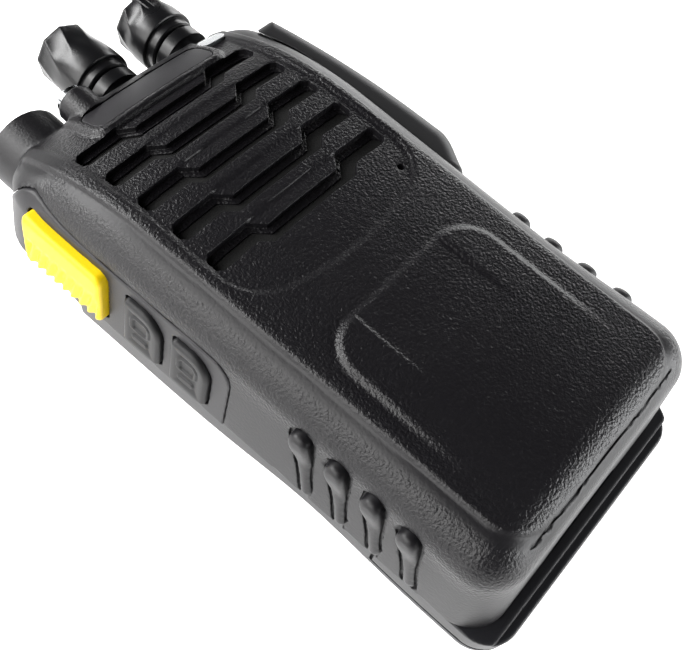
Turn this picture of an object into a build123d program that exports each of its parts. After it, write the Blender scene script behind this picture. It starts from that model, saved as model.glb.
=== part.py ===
from build123d import *
import math
import os

# Compact two-way radio lying on its back. Everything below is in mm, measured from the foot
# of the battery (y), the middle of the case (x) and the plane the battery back lies on (z).
origin_up = 50.0          # the row's origin is this far above the foot, on the battery back

# overall form
body_length = 107.5       # battery foot to top wall
case_foot = 3.2           # the front case starts this far above the battery foot
half_width_foot = 26.4    # at the seam, foot end
half_width_top = 29.4     # at the seam, top end
depth = 32.0              # battery back to speaker face
seam_z = 9.2              # underside of the front case wall
seam_gap = 0.2            # line left between front case and battery
side_lean = 8.0           # degrees the side walls lean inwards
shoulder_r = 6.0
corner_r = 10.0
crown = 1.0               # the face is this much lower at the crease than in the middle
crease_x = 20.6
brow_start = body_length - 34.5   # above here the face curves back
brow_r = 60.0
wall = 2.2

# speaker slots
slot_top_y = body_length - 14.1
slot_pitch = 7.23
slot_count = 5
slot_half = 18.4
bar_half_long = 9.7
bar_half_short = 7.5
bar_step = 2.33
slot_low_end = 1.3
slot_low_mid = 2.9

# speaker and microphone
speaker_y = body_length - 29.5
speaker_r = 16.0
speaker_face_z = depth - 7.0
speaker_back_z = speaker_face_z - 8.0
mic_x = 15.5
mic_y = body_length - 49.5
mic_face_z = depth - 4.9
mic_r = 3.0

# controls on the top wall
control_z = 16.6
channel_x = 0.5
volume_x = 16.0
shaft_r = 2.0
shaft_clear = 0.05        # running fit of a shaft in its bushing
bushing_r = 3.0
nut_r = 5.2
knob_base_y = body_length + 3.1
knob_base_r = 5.8
knob_tip_r = 4.9
channel_tip_y = knob_base_y + 13.2
volume_tip_y = knob_base_y + 10.2
antenna_x = -17.0
antenna_z = 14.0
antenna_seat_r = 7.2
antenna_seat_y = body_length + 4.8
antenna_wall_y = body_length - 1.9    # floor of the recess the antenna screws into
antenna_thread_r = 3.175  # quarter-inch 36-per-inch coaxial thread
torch_x = -8.0
torch_z = 21.0
torch_seat_y = body_length - 0.4
switch_y = (body_length - 14.5, body_length - 5.9)
bushing_end_y = body_length + 2.5

# push to talk and the two keys below it
move_clear = 0.3
ptt_y = (78.3, 95.9)
ptt_z = (11.3, 21.9)
ptt_proud = 1.9
ptt_travel = 1.0
key_upper_y = (66.4, 74.0)
key_lower_y = (56.5, 64.1)
key_z = (11.2, 21.9)
key_proud = 1.1
key_travel = 0.5
bezel_y = (53.0, 104.2)
bezel_end_x = -14.0         # the bezel wraps the top corner this far
bezel_z = (seam_z, 24.0)
bezel_proud = 0.4
bezel_skin = 1.2

# accessory jacks and their cover
jack_y = 78.0
jack_spacing = 11.5
jack_z = 18.8
jack_big_r = 1.8
jack_small_r = 1.3
cover_y = (52.5, 99.5)
cover_full_y = (60.5, 74.0)  # fullest between these, falling off to both ends
cover_z = (9.8, 25.2)
cover_out_x = 33.4
cover_hinge_r = 1.1
cover_gap = 0.35
cover_inner_x = 27.6
cover_relief = 14.0
cover_relief_z = 20.0

# battery and chassis
battery_top = 86.0
contact_y = (battery_top - 11.0, battery_top - 6.0)
battery_rim = 3.2
battery_corner_r = 6.0
battery_floor = 1.6
lid_thick = 1.2
plate_z = (10.6, 12.6)
plate_foot = 11.4
board_z = (14.6, 16.2)
board_half = 21.0
board_y = (22.0, body_length - 15.0)
fit_gap = 0.4             # chassis and lid inside the front case wall
clip_spacing = 25.0
clip_y = body_length - 11.5
clip_hole_r = 1.25
clip_depth = 5.0
latch_half = 7.5
latch_travel = 2.2


def box(x, y, z):
    size = (x[1] - x[0], y[1] - y[0], z[1] - z[0])
    middle = ((x[0] + x[1]) / 2, (y[0] + y[1]) / 2, (z[0] + z[1]) / 2)
    return Pos(*middle) * Box(*size)


def rod_x(y, z, r, x0, x1):
    return Pos((x0 + x1) / 2, y, z) * Rot(0, 90, 0) * Cylinder(r, x1 - x0)


def rod_y(x, z, r, y0, y1):
    return Pos(x, (y0 + y1) / 2, z) * Rot(90, 0, 0) * Cylinder(r, y1 - y0)


def rod_z(x, y, r, z0, z1):
    return Pos(x, y, (z0 + z1) / 2) * Cylinder(r, z1 - z0)


def half_width(y):
    share = (y - case_foot) / (body_length - case_foot)
    return half_width_foot + (half_width_top - half_width_foot) * share


def wall_x(y, z, inset=0.0):
    # outside of the side wall at height z, moved in by inset
    return half_width(y) - inset - (z - seam_z) * math.tan(math.radians(side_lean))


def outline(inset, low, high, foot_r, top_r):
    foot_w = half_width(low) - inset
    top_w = half_width(high) - inset
    sketch = make_face(Polyline((-foot_w, low), (foot_w, low), (top_w, high), (-top_w, high), close=True))
    foot_corners = sketch.vertices().filter_by(lambda v: v.Y < (low + high) / 2)
    sketch = fillet(foot_corners, foot_r)
    top_corners = sketch.vertices().filter_by(lambda v: v.Y > high - 0.01)
    return fillet(top_corners, top_r)


def face_block(inset):
    # solid under the speaker face: straight below brow_start, bent back above it
    top = depth - inset
    crown_r = (crease_x ** 2 + crown ** 2) / (2 * crown)
    edge = top - (crown_r - math.sqrt(crown_r ** 2 - 45.0 ** 2))
    profile = Polyline((-45, edge), (-45, 2), (45, 2), (45, edge))
    profile += ThreePointArc((-45, edge), (0, top), (45, edge))
    section = Plane((0, brow_start, 0), x_dir=(-1, 0, 0), z_dir=(0, 1, 0)) * make_face(profile)
    straight = extrude(section, -(brow_start + 10))
    bent = revolve(section, Axis((0, brow_start, depth - brow_r), (1, 0, 0)), -45)
    return straight + bent


def case_form(inset):
    low = case_foot + inset
    high = body_length - inset
    plan = outline(inset, low, high, corner_r - inset, corner_r - inset)
    form = extrude(Pos(0, 0, seam_z) * plan, depth + 8, taper=side_lean) & face_block(inset)
    seen = {}
    for face in form.faces().filter_by(lambda f: f.normal_at().Z > 0.6):
        for edge in face.edges():
            key = tuple(round(c, 3) for c in edge.center())
            seen.setdefault(key, []).append(edge)
    rim = [edges[0] for edges in seen.values() if len(edges) == 1]
    return fillet(rim, shoulder_r - 0.9 * inset)


outer = case_form(0)
inner = case_form(wall)

parts = {}

# ---- front case ----
ledge = case_form(bezel_skin + 0.05)
bezel_room = box((-40, bezel_end_x + 0.1), (bezel_y[0] - 0.1, bezel_y[1] + 0.1), (0, bezel_z[1] + 0.1))
case = outer - inner
for x, r in ((channel_x, 6.2), (volume_x, 6.2)):
    boss = rod_y(x, control_z, r, body_length - 5.0, body_length)
    case += boss
seat = rod_y(antenna_x, antenna_z, antenna_seat_r, body_length + 0.05, antenna_seat_y)
inside = rod_y(antenna_x, antenna_z, antenna_seat_r, body_length - 4.5, body_length + 0.1)
seat += inside & box((-40, 0), (0, body_length + 1), (seam_z, 30))
case += seat
case += rod_y(torch_x, torch_z, 3.4, body_length - 5.5, torch_seat_y + 1.8)


def slot(y):
    up = y + bar_step
    points = [
        (-slot_half, up), (-bar_half_long, up), (-bar_half_short, y), (bar_half_short, y),
        (bar_half_long, up), (slot_half, up), (slot_half, y - slot_low_end),
        (bar_half_long + 1.0, y - slot_low_end), (bar_half_short + 1.5, y - slot_low_mid),
        (-bar_half_short - 1.5, y - slot_low_mid), (-bar_half_long - 1.0, y - slot_low_end),
        (-slot_half, y - slot_low_end),
    ]
    sketch = make_face(Polyline(*points, close=True))
    ends = sketch.vertices().filter_by(lambda v: abs(v.X) > slot_half - 0.1)
    sketch = fillet(ends, 1.2)
    return Pos(0, 0, depth - 14) * extrude(sketch, 20)


slots = slot(slot_top_y)
for i in range(1, slot_count):
    slots += slot(slot_top_y - i * slot_pitch)
case -= slots
case -= rod_z(mic_x, mic_y, 0.6, depth - 12, depth + 8)

# seat of the side bezel, then the windows that its buttons work through
case -= (bezel_room & case_form(-1.0)) - ledge


def window(y, z, grow, corner):
    # prism along X with one corner, nearest foot and face, rounder than the others
    y0, y1 = y[0] - grow, y[1] + grow
    z0, z1 = z[0] - grow, z[1] + grow
    sketch = make_face(Polyline((y0, z0), (y1, z0), (y1, z1), (y0, z1), close=True))
    round_one = sketch.vertices().filter_by(lambda v: v.X < y0 + 0.01 and v.Y > z1 - 0.01)
    sketch = fillet(round_one, corner + grow)
    others = sketch.vertices().filter_by(lambda v: v.X > y1 - 0.01 or v.Y < z0 + 0.01)
    sketch = fillet(others, 0.9)
    plane = Plane((-36, 0, 0), x_dir=(0, 1, 0), z_dir=(1, 0, 0))
    return extrude(plane * sketch, 16)


buttons = {
    "ptt_button": (ptt_y, ptt_z, 1.6, ptt_proud, ptt_travel),
    "side_key_upper": (key_upper_y, key_z, 4.0, key_proud, key_travel),
    "side_key_lower": (key_lower_y, key_z, 4.0, key_proud, key_travel),
}
windows = {}
for name, (y, z, corner, proud, travel) in buttons.items():
    windows[name] = window(y, z, move_clear, corner)
    case -= windows[name]

# jack opening, latch window, screw bosses and the holes in the top wall
jack_block_y = (jack_y - jack_spacing / 2 - 3.2, jack_y + jack_spacing / 2 + 3.2)
jack_block_z = (board_z[1], jack_z + 2.6)
jack_face_x = wall_x(jack_y, jack_z) - 0.2
jack_room_y = (jack_block_y[0] - 0.15, jack_block_y[1] + 0.15)
jack_room_z = (jack_block_z[0] - 0.15, jack_block_z[1] + 0.15)
case -= box((20, 40), jack_room_y, jack_room_z)
case -= box((-latch_half - 0.5, latch_half + 0.5), (0, 7.5), (seam_z - 1, 14.2))
screw_spots = [(-18.0, 14.0), (18.0, 14.0)]
for x, y in screw_spots:
    boss = rod_z(x, y, 2.6, plate_z[1], depth + 8) & inner
    case += boss
    case -= rod_z(x, y, 1.0, plate_z[1] - 1, 20)
for x in (channel_x, volume_x):
    case -= rod_y(x, control_z, bushing_r + 0.1, body_length - 12.5, body_length + 7.5)
case -= rod_y(antenna_x, antenna_z, antenna_thread_r, body_length - 12.5, body_length + 7.5)
case -= rod_y(antenna_x, antenna_z, 5.4, antenna_wall_y, body_length + 7.5)
case -= rod_y(torch_x, torch_z, 1.95, body_length - 12.5, torch_seat_y)
case -= rod_y(torch_x, torch_z, 2.7, torch_seat_y, body_length + 7.5)

# recess and plate for the name label, plain here
label_x = (-11.5, 14.0)
label_y = (body_length - 10.3, body_length - 4.1)


def label_prism(grow):
    x0, x1 = label_x[0] - grow, label_x[1] + grow
    y0, y1 = label_y[0] - grow, label_y[1] + grow
    sketch = make_face(Polyline((x0, y0), (x1, y0), (x1, y1), (x0, y1), close=True))
    sketch = fillet(sketch.vertices(), 2.0 + grow)
    return extrude(sketch, depth + 8)


skin = case_form(0.7)
case -= (label_prism(0.1) & outer) - skin
parts["label_plate"] = (label_prism(0) & case_form(0.1)) - skin

# light pipe: surface button over the top edge, leg along the roof, leg down to the lamp
pipe_x = 17.6
pipe_y = body_length - 4.9
lamp_y = (board_y[1] - 4.5, board_y[1] - 2.9)
roof_z = depth - 11.0
button = Pos(pipe_x, pipe_y, roof_z - 3) * extrude(SlotOverall(5.6, 2.6), 20)
case -= Pos(pipe_x, pipe_y, roof_z - 3) * extrude(SlotOverall(5.8, 2.8), 20)
pipe = (button & case_form(-0.3)) & box((0, 40), (0, body_length), (roof_z, depth + 8))
pipe += box((pipe_x - 1.0, pipe_x + 1.0), (lamp_y[0], pipe_y), (roof_z, roof_z + 0.9))
pipe += box((pipe_x - 1.0, pipe_x + 1.0), lamp_y, (board_z[1] + 1.0, roof_z + 0.9))
parts["status_light_pipe"] = pipe
parts["status_led"] = box((pipe_x - 1.0, pipe_x + 1.0), lamp_y, (board_z[1], board_z[1] + 0.9))
case -= box((pipe_x - 1.2, pipe_x + 1.2), (lamp_y[0] - 0.2, pipe_y), (board_z[1] + 0.8, roof_z + 1.05))

# four gripping drops down each side
for side in (-1, 1):
    for i in range(4):
        y = 38.6 - 6.6 * i
        x = side * wall_x(y, 22.5)
        drop = Pos(x, y, 23.0) * Sphere(1.9)
        tail = Pos(x + side * 0.15, y - 1.6, 17.0) * Rot(-14, side * -side_lean, 0) * Cylinder(0.9, 11)
        case += (drop + tail) - inner
parts["front_case"] = case

# ---- side bezel ----
bezel = (bezel_room & case_form(-bezel_proud)) - case_form(bezel_skin)
bezel &= box((-40, bezel_end_x), bezel_y, bezel_z)
for name in buttons:
    bezel -= windows[name]
parts["side_bezel"] = bezel

# ---- buttons: proud outside, flange behind the wall, post towards the switch ----
switch_x = -17.5
plunger_x = -21.5
switch_spots = {}
for name, (y, z, corner, proud, travel) in buttons.items():
    body = (window(y, z, 0, corner) & case_form(-proud)) - case_form(wall + 0.9)
    flange = (window(y, z, 0.9, corner) & case_form(wall + 0.1)) - case_form(wall + 0.9)
    mid = (y[0] + y[1]) / 2
    post_z = 18.4
    post = rod_x(mid, post_z, 1.4, -wall_x(mid, post_z, wall + 0.5), plunger_x - travel - 0.1)
    switch_spots[name] = mid
    button = body + flange + post
    if name == "ptt_button":
        for i in range(8):
            rib_y = y[0] + 2.3 + 1.95 * i
            x = -wall_x(rib_y, 14.0, -proud) - 0.42
            lean = Pos(x, rib_y, 14.0) * Rot(24, side_lean, 0)
            button -= lean * Cylinder(0.8, 7.5)
    else:
        x = -wall_x(mid, z[1], -proud)
        button -= Pos(x, mid + 0.3, 17.5) * Rot(0, side_lean, 0) * (Box(0.9, 3.4, 3.4) - Box(2, 2.0, 2.0))
    parts[name] = button
switches = []
for name, mid in switch_spots.items():
    body = box((plunger_x + 1.0, switch_x), (mid - 3.0, mid + 3.0), (board_z[1], 20.8))
    switches.append(body + rod_x(mid, 18.4, 1.1, plunger_x, plunger_x + 1.0))
parts["key_switches"] = Compound(children=switches)

# ---- speaker, its foam ring and the dust cloth glued behind the slots ----
cloth_low = slot_top_y - (slot_count - 1) * slot_pitch - 2.18
cloth_high = slot_top_y + bar_step + 1.87
cloth_sketch = make_face(Polyline(
    (-20, cloth_low), (-11.3, cloth_low), (-11.3, cloth_low - 2.1),
    (11.3, cloth_low - 2.1), (11.3, cloth_low),
    (20, cloth_low), (20, cloth_high), (-20, cloth_high), close=True))
cloth = (extrude(cloth_sketch, depth + 8) & inner) - case_form(wall + 0.3)
parts["grille_cloth"] = cloth
ring = rod_z(0, speaker_y, speaker_r, speaker_face_z, depth + 8)
ring -= rod_z(0, speaker_y, speaker_r - 2.4, speaker_back_z, depth + 9)
parts["speaker_gasket"] = ring & case_form(wall + 0.3)
basket = rod_z(0, speaker_y, speaker_r, speaker_face_z - 3.4, speaker_face_z)
basket -= Pos(0, speaker_y, speaker_face_z - 1.6) * Cone(8.0, speaker_r - 1.2, 3.2)
basket -= rod_z(0, speaker_y, 8.0, speaker_face_z - 4.0, speaker_face_z - 3.0)
magnet = rod_z(0, speaker_y, 9.0, speaker_back_z, speaker_face_z - 3.4)
basket += magnet - rod_z(0, speaker_y, 6.6, speaker_face_z - 6.0, speaker_face_z - 3.3)
basket += rod_z(0, speaker_y, 5.6, speaker_face_z - 6.2, speaker_face_z - 3.6)
parts["speaker_frame"] = basket
cone_shape = Pos(0, speaker_y, speaker_face_z - 1.45) * Cone(7.6, speaker_r - 1.6, 2.6)
cone_shape -= Pos(0, speaker_y, speaker_face_z - 1.15) * Cone(7.2, speaker_r - 1.6, 2.7)
dome = Pos(0, speaker_y, speaker_face_z - 6.4) * (Sphere(8.2) - Sphere(7.9))
cone_shape += dome & rod_z(0, speaker_y, 7.4, speaker_face_z - 2.6, depth)
coil_z = (speaker_face_z - 3.5, speaker_face_z - 2.4)
cone_shape += rod_z(0, speaker_y, 6.3, *coil_z) - rod_z(0, speaker_y, 6.0, coil_z[0] - 0.5, coil_z[1] + 0.4)
parts["speaker_cone"] = cone_shape

boot = rod_z(mic_x, mic_y, mic_r + 0.7, mic_face_z - 3.6, depth + 8) & inner
boot -= rod_z(mic_x, mic_y, mic_r, mic_face_z - 4.1, mic_face_z)
boot -= rod_z(mic_x, mic_y, 0.6, mic_face_z - 0.1, depth + 8)
parts["mic_boot"] = boot
parts["microphone"] = rod_z(mic_x, mic_y, mic_r, mic_face_z - 2.7, mic_face_z)

# ---- die-cast chassis closing the back above the battery ----
plate_in = wall + fit_gap + (plate_z[1] - seam_z) * math.tan(math.radians(side_lean))
plate = outline(plate_in, plate_foot, body_length - plate_in, 6.0, corner_r - plate_in)
chassis = Pos(0, 0, plate_z[0]) * extrude(plate, plate_z[1] - plate_z[0])
back_plan = outline(0, battery_top + 0.3, body_length, 0.6, corner_r)
rear = Pos(0, 0, 2.5) * extrude(back_plan, seam_z - seam_gap - 2.5)
rear = fillet(rear.edges().filter_by(lambda e: e.center().Z < 2.6), 1.6)
step = outline(wall + fit_gap, battery_top + 0.3, body_length - wall - fit_gap, 0.6, 7.2)
rear += Pos(0, 0, 8.0) * extrude(step, plate_z[0] - 8.0)
chassis += rear
chassis -= box((-11.5, 11.5), (contact_y[0] - 2.0, contact_y[1] + 1.5), (9, 13))
# room for the button flanges, the control bosses and the antenna seat
chassis -= box((-40, -23.4), (key_lower_y[0] - 2.5, ptt_y[1] + 2.1), (10.25, 13))
for x in (channel_x, volume_x):
    room = rod_y(x, control_z, 6.5, body_length - 5.3, body_length + 2.5)
    chassis -= room & box((-40, 40), (0, body_length + 2.5), (9.8, 20))
room = rod_y(antenna_x, antenna_z, antenna_seat_r + 0.3, body_length - 4.8, body_length + 2.5)
chassis -= room & box((-40, 40), (0, body_length + 2.5), (9.1, 20))
for x in (-clip_spacing / 2, clip_spacing / 2):
    chassis -= rod_z(x, clip_y, clip_hole_r, 0, 2.5 + clip_depth)
board_screw_y = board_y[1] - 3.1
board_spots = [(-18.2, 27.0), (18.2, 27.0), (-18.2, 51.0), (18.2, 51.0)]
board_spots += [(-10.8, board_screw_y), (10.8, board_screw_y)]
for x, y in board_spots:
    chassis += rod_z(x, y, 2.4, plate_z[1], board_z[0])
    chassis -= rod_z(x, y, 0.95, 11.0, board_z[0] + 1)
for x, y in screw_spots:
    chassis -= rod_z(x, y, 1.1, 9, 13)
    chassis -= rod_z(x, y, 2.1, 9, 12.0)
room = rod_y(antenna_x, antenna_z, 4.7, body_length - 9.2, body_length - 1.5)
chassis -= room & box((-40, 0), (0, body_length), (9.1, 20))
parts["rear_chassis"] = chassis

# ---- boards and what stands on them ----
board = box((-board_half, board_half), board_y, board_z)
for x, y in board_spots:
    board -= rod_z(x, y, 1.1, 14, 17)
parts["main_board"] = board
can = box((-14.5, 14.5), (24.0, 55.0), (board_z[1], 18.9))
can -= box((-14.2, 14.2), (24.3, 54.7), (board_z[1] - 1, 18.6))
parts["shield_can"] = can
parts["board_screws"] = Compound(children=[
    rod_z(x, y, 1.8, board_z[1], 17.5) + rod_z(x, y, 0.9, 11.2, board_z[1]) for x, y in board_spots])
parts["chassis_screws"] = Compound(children=[
    rod_z(x, y, 1.9, 10.7, 12.0) + rod_z(x, y, 0.95, 12.0, 18.0) for x, y in screw_spots])

# ---- rotary controls ----
nuts = []
for name, x, tip in (("channel", channel_x, channel_tip_y), ("volume", volume_x, volume_tip_y)):
    body = box((x - 5.6, x + 5.6), switch_y, (12.8, 20.4))
    body += rod_y(x, control_z, bushing_r, switch_y[1], bushing_end_y)
    body -= rod_y(x, control_z, shaft_r + shaft_clear, switch_y[0] + 1.5, bushing_end_y + 1)
    parts[name + "_switch"] = body
    parts[name + "_shaft"] = rod_y(x, control_z, shaft_r, switch_y[0] + 2.0, tip - 4.0)
    nut = rod_y(x, control_z, nut_r, body_length, bushing_end_y - 0.1)
    nut -= rod_y(x, control_z, bushing_r, switch_y[1], bushing_end_y + 2)
    nuts.append(nut)
    height = tip - knob_base_y
    skirt = rod_y(x, control_z, knob_base_r, knob_base_y, knob_base_y + 3.0)
    grip = Pos(x, knob_base_y + 3.0 + (height - 3.0) / 2, control_z) * Rot(-90, 0, 0)
    grip = grip * Cone(knob_base_r, knob_tip_r, height - 3.0)
    knob = skirt + grip
    knob = fillet(knob.edges().filter_by(lambda e: e.center().Y > tip - 0.01), 0.8)
    for i in range(10):
        angle = math.radians(36 * i + 18)
        flute = Pos(x + 6.5 * math.cos(angle), tip - 3.5, control_z + 6.5 * math.sin(angle))
        knob -= flute * Rot(90, 0, 0) * Cylinder(1.6, height - 5.0)
    if name == "volume":
        knob += box((x - 0.8, x + 0.8), (knob_base_y + 3.0, tip + 0.6), (control_z + 3.0, control_z + 5.4))
    knob -= rod_y(x, control_z, shaft_r, body_length, tip - 4.0)
    parts[name + "_knob"] = knob
parts["control_nuts"] = Compound(children=nuts)

# ---- antenna socket ----
socket = rod_y(antenna_x, antenna_z, antenna_thread_r, antenna_wall_y, antenna_seat_y - 0.5)
socket += rod_y(antenna_x, antenna_z, antenna_thread_r - 0.2, antenna_wall_y - 2.6, antenna_wall_y)
socket += rod_y(antenna_x, antenna_z, 4.4, antenna_wall_y - 5.6, antenna_wall_y - 2.6)
socket -= rod_y(antenna_x, antenna_z, 2.1, antenna_wall_y - 6.6, antenna_seat_y + 1)
parts["antenna_socket"] = socket
plug = rod_y(antenna_x, antenna_z, 2.1, antenna_wall_y - 6.0, antenna_wall_y + 3.6)
plug -= rod_y(antenna_x, antenna_z, 0.65, antenna_wall_y - 7, antenna_wall_y + 4)
parts["antenna_insulator"] = plug
parts["antenna_contact"] = rod_y(antenna_x, antenna_z, 0.65, antenna_wall_y - 7.0, antenna_wall_y + 3.6)

# ---- torch ----
collar = rod_y(torch_x, torch_z, 2.7, torch_seat_y, torch_seat_y + 2.8)
collar -= rod_y(torch_x, torch_z, 1.9, torch_seat_y - 1, torch_seat_y + 4)
parts["torch_collar"] = collar
bulb = rod_y(torch_x, torch_z, 1.9, torch_seat_y - 3.4, torch_seat_y + 2.6)
bulb += Pos(torch_x, torch_seat_y + 2.6, torch_z) * Sphere(1.9)
parts["torch_led"] = bulb

# ---- accessory jacks and cover ----
block = box((10.4, jack_face_x), jack_block_y, jack_block_z)
block -= rod_x(jack_y + jack_spacing / 2, jack_z, jack_big_r, jack_face_x - 14.0, 40)
block -= rod_x(jack_y - jack_spacing / 2, jack_z, jack_small_r, jack_face_x - 11.0, 40)
parts["jack_block"] = block

hinge_y = cover_y[1]
hinge_x = wall_x(hinge_y, seam_z) + cover_gap + cover_hinge_r
cover_plan = make_face(Polyline(
    (15, cover_y[0]), (hinge_x, cover_y[0]), (cover_out_x, cover_full_y[0]), (cover_out_x, cover_full_y[1]),
    (hinge_x + cover_hinge_r, hinge_y), (15, hinge_y), close=True))
cover = Pos(0, 0, cover_z[0]) * extrude(cover_plan, cover_z[1] - cover_z[0])
cover_mid_z = (cover_z[0] + cover_z[1]) / 2
rims = cover.edges().filter_by(lambda e: e.center().X > hinge_x and abs(e.center().Z - cover_mid_z) > 1)
cover = fillet(rims, 2.4)
shadow = case_form(-cover_gap)
cover -= shadow
hollow = box((15, hinge_x), (cover_full_y[0], cover_y[1] - 8), (cover_z[0] + 2.2, cover_z[1] - 3.4))
cover -= hollow
cover -= box((0, hinge_x), (hinge_y - 0.6, hinge_y + 20), (0, 40))
# nothing reaches over the shoulder near the hinge, so the cover clears the brow as it turns
cover -= box((0, cover_inner_x), (hinge_y - cover_relief, hinge_y + 20), (cover_relief_z, 40))
barrel = rod_z(hinge_x, hinge_y, cover_hinge_r, cover_z[0] + 1.0, cover_z[1] - 5.2)
cover += barrel
parts["accessory_cover"] = cover

# ---- battery ----
shell_plan = outline(0, 0, battery_top, battery_corner_r, 0.8)
shell = extrude(shell_plan, seam_z - seam_gap)
back_rim = shell.edges().filter_by(lambda e: e.center().Z < 0.01 and e.center().Y < battery_top - 0.1)
shell = fillet(back_rim, 4.0)
cell_plan = outline(battery_rim, battery_rim, battery_top - 2.2, battery_corner_r - battery_rim, 0.8)
shell -= Pos(0, 0, battery_floor) * extrude(cell_plan, 20)
charge_spots = [(-7.0, 16.0), (7.0, 16.0)]
for x, y in charge_spots:
    shell -= rod_z(x, y, 2.2, -1, 3)
parts["battery_shell"] = shell
lid_low = case_foot + wall + fit_gap
lid_plan = outline(wall + fit_gap, lid_low, battery_top - 0.2, 7.0, 0.8)
lid = Pos(0, 0, seam_z - seam_gap) * extrude(lid_plan, lid_thick)
pad_xs = [-7.5, -2.5, 2.5, 7.5]
for x in pad_xs:
    lid -= box((x - 1.5, x + 1.5), contact_y, (8, 11))
lid -= box((-4.3, 4.3), (6.7, 8.7), (8, 11))
parts["battery_lid"] = lid
lid_top = seam_z - seam_gap + lid_thick
parts["battery_contacts"] = Compound(children=[
    box((x - 1.5, x + 1.5), contact_y, (7.4, lid_top + 0.1)) for x in pad_xs])
parts["battery_board"] = box((-15, 15), (contact_y[0] - 1.5, contact_y[1] + 1.5), (6.4, 7.4))
cell = box((-20.5, 20.5), (13.0, contact_y[0] - 4.0), (battery_floor + 0.1, 8.6))
parts["battery_cell"] = fillet(cell.edges().filter_by(Axis.Y), 2.6)
parts["charge_contacts"] = Compound(children=[rod_z(x, y, 2.2, 0.15, battery_floor) for x, y in charge_spots])
spring_y = (contact_y[0] + 1.0, contact_y[1] - 1.0)
parts["contact_springs"] = Compound(children=[
    box((x - 0.8, x + 0.8), spring_y, (lid_top + 0.1, board_z[0])) for x in pad_xs])

# ---- battery latch in the foot: slides towards the face to free the battery ----
spring_base = 13.4
spring_top = 20.4
latch = box((-latch_half, latch_half), (6.8, 10.9), (lid_top + 0.2, spring_base))
latch += box((-4.0, 4.0), (7.0, 8.4), (lid_top - 2.0, 12.0))
latch += box((-5.0, 5.0), (3.8, 6.8), (10.6, 11.5))
parts["battery_latch"] = latch
coil_height = spring_top - spring_base - 0.5
coil = Helix(pitch=1.4, height=coil_height, radius=1.2, center=(0, 9.4, spring_base + 0.25))
wire = Plane(coil @ 0, z_dir=coil % 0) * Circle(0.2)
parts["latch_spring"] = sweep(wire, path=coil)
parts["front_case"] += box((-3.0, 3.0), (7.6, 11.2), (spring_top, depth + 8)) & inner

os.makedirs("parts", exist_ok=True)
for name, shape in parts.items():
    placed = Pos(0, -origin_up, 0) * shape
    export_step(placed, os.path.join("parts", name + ".step"))
    print(name, len(placed.solids()), round(sum(s.volume for s in placed.solids()), 1))
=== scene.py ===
import math

import bmesh
import bpy
import numpy as np
from mathutils import Matrix, Vector


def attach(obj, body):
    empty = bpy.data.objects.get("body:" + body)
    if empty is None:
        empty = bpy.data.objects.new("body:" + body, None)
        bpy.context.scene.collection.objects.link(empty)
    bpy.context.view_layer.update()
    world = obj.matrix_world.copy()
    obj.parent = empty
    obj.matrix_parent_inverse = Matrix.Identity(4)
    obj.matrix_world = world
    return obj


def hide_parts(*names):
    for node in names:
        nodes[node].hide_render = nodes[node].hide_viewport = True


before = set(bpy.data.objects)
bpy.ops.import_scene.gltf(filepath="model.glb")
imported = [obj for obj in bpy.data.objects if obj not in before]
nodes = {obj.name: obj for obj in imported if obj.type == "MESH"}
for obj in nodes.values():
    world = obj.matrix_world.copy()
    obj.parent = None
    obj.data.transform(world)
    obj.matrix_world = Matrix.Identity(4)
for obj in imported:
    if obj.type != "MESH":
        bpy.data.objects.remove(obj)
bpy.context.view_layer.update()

# lengths below are mm, and heights along the radio (y) count from the battery's foot
mm = 0.001
footShift = 50.0          # the row's origin is this far above the foot


def toRow(points):
    points = np.array(points, float)
    points[:, 1] -= footShift
    return points * mm


def addNode(tree, kind, settings=None, links=None):
    node = tree.nodes.new(kind)
    for key, value in (settings or {}).items():
        if isinstance(key, int) or key in node.inputs.keys():
            node.inputs[key].default_value = value
        else:
            setattr(node, key, value)
    for key, source in (links or {}).items():
        tree.links.new(source, node.inputs[key])
    return node


# ---------- camera, floor and lights ----------
shot = {
    "place": (-0.0628, -0.0329, 0.1336),      # metres
    "right": (0.662, -0.739, 0.124),
    "up": (0.613, 0.629, 0.477),
    "back": (-0.431, -0.240, 0.870),
    "lens": 44.48,
    "sensor": 36.0,
    "nearest": 0.01,
}
cameraData = bpy.data.cameras.new("camera")
cameraData.sensor_fit = "HORIZONTAL"
cameraData.sensor_width = shot["sensor"]
cameraData.lens = shot["lens"]
cameraData.clip_start = shot["nearest"]
camera = bpy.data.objects.new("camera", cameraData)
bpy.context.collection.objects.link(camera)
turn = Matrix((shot["right"], shot["up"], shot["back"])).transposed().to_quaternion()
camera.matrix_world = Matrix.LocRotScale(Vector(shot["place"]), turn, None)
bpy.context.scene.camera = camera
bpy.context.scene.view_settings.view_transform = "Standard"

# metres; every light looks at the middle of the radio
lightTarget = Vector((0, 0.01, 0.01))
lights = {
    # name: place, size, watts, colour
    "leftBank": ((-0.38, 0.14, 0.27), (0.5, 0.4), 4.2, (1.0, 0.99, 0.98)),
    "footBank": ((0.2, -0.46, 0.12), (0.5, 0.2), 3.6, (0.98, 0.99, 1.0)),
    "rightStrip": ((0.5, 0.12, 0.1), (0.5, 0.16), 1.8, (1.0, 1.0, 1.0)),
    "topBank": ((-0.16, 0.45, 0.3), (0.3, 0.18), 3.4, (1.0, 1.0, 1.0)),
}
for name, (place, size, watts, colour) in lights.items():
    data = bpy.data.lights.new(name, "AREA")
    data.shape = "RECTANGLE"
    data.size, data.size_y = size
    data.energy = watts
    data.color = colour
    lamp = bpy.data.objects.new(name, data)
    lamp.location = place
    aim = lightTarget - Vector(place)
    lamp.rotation_euler = aim.to_track_quat("-Z", "Y").to_euler()
    bpy.context.collection.objects.link(lamp)

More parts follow.
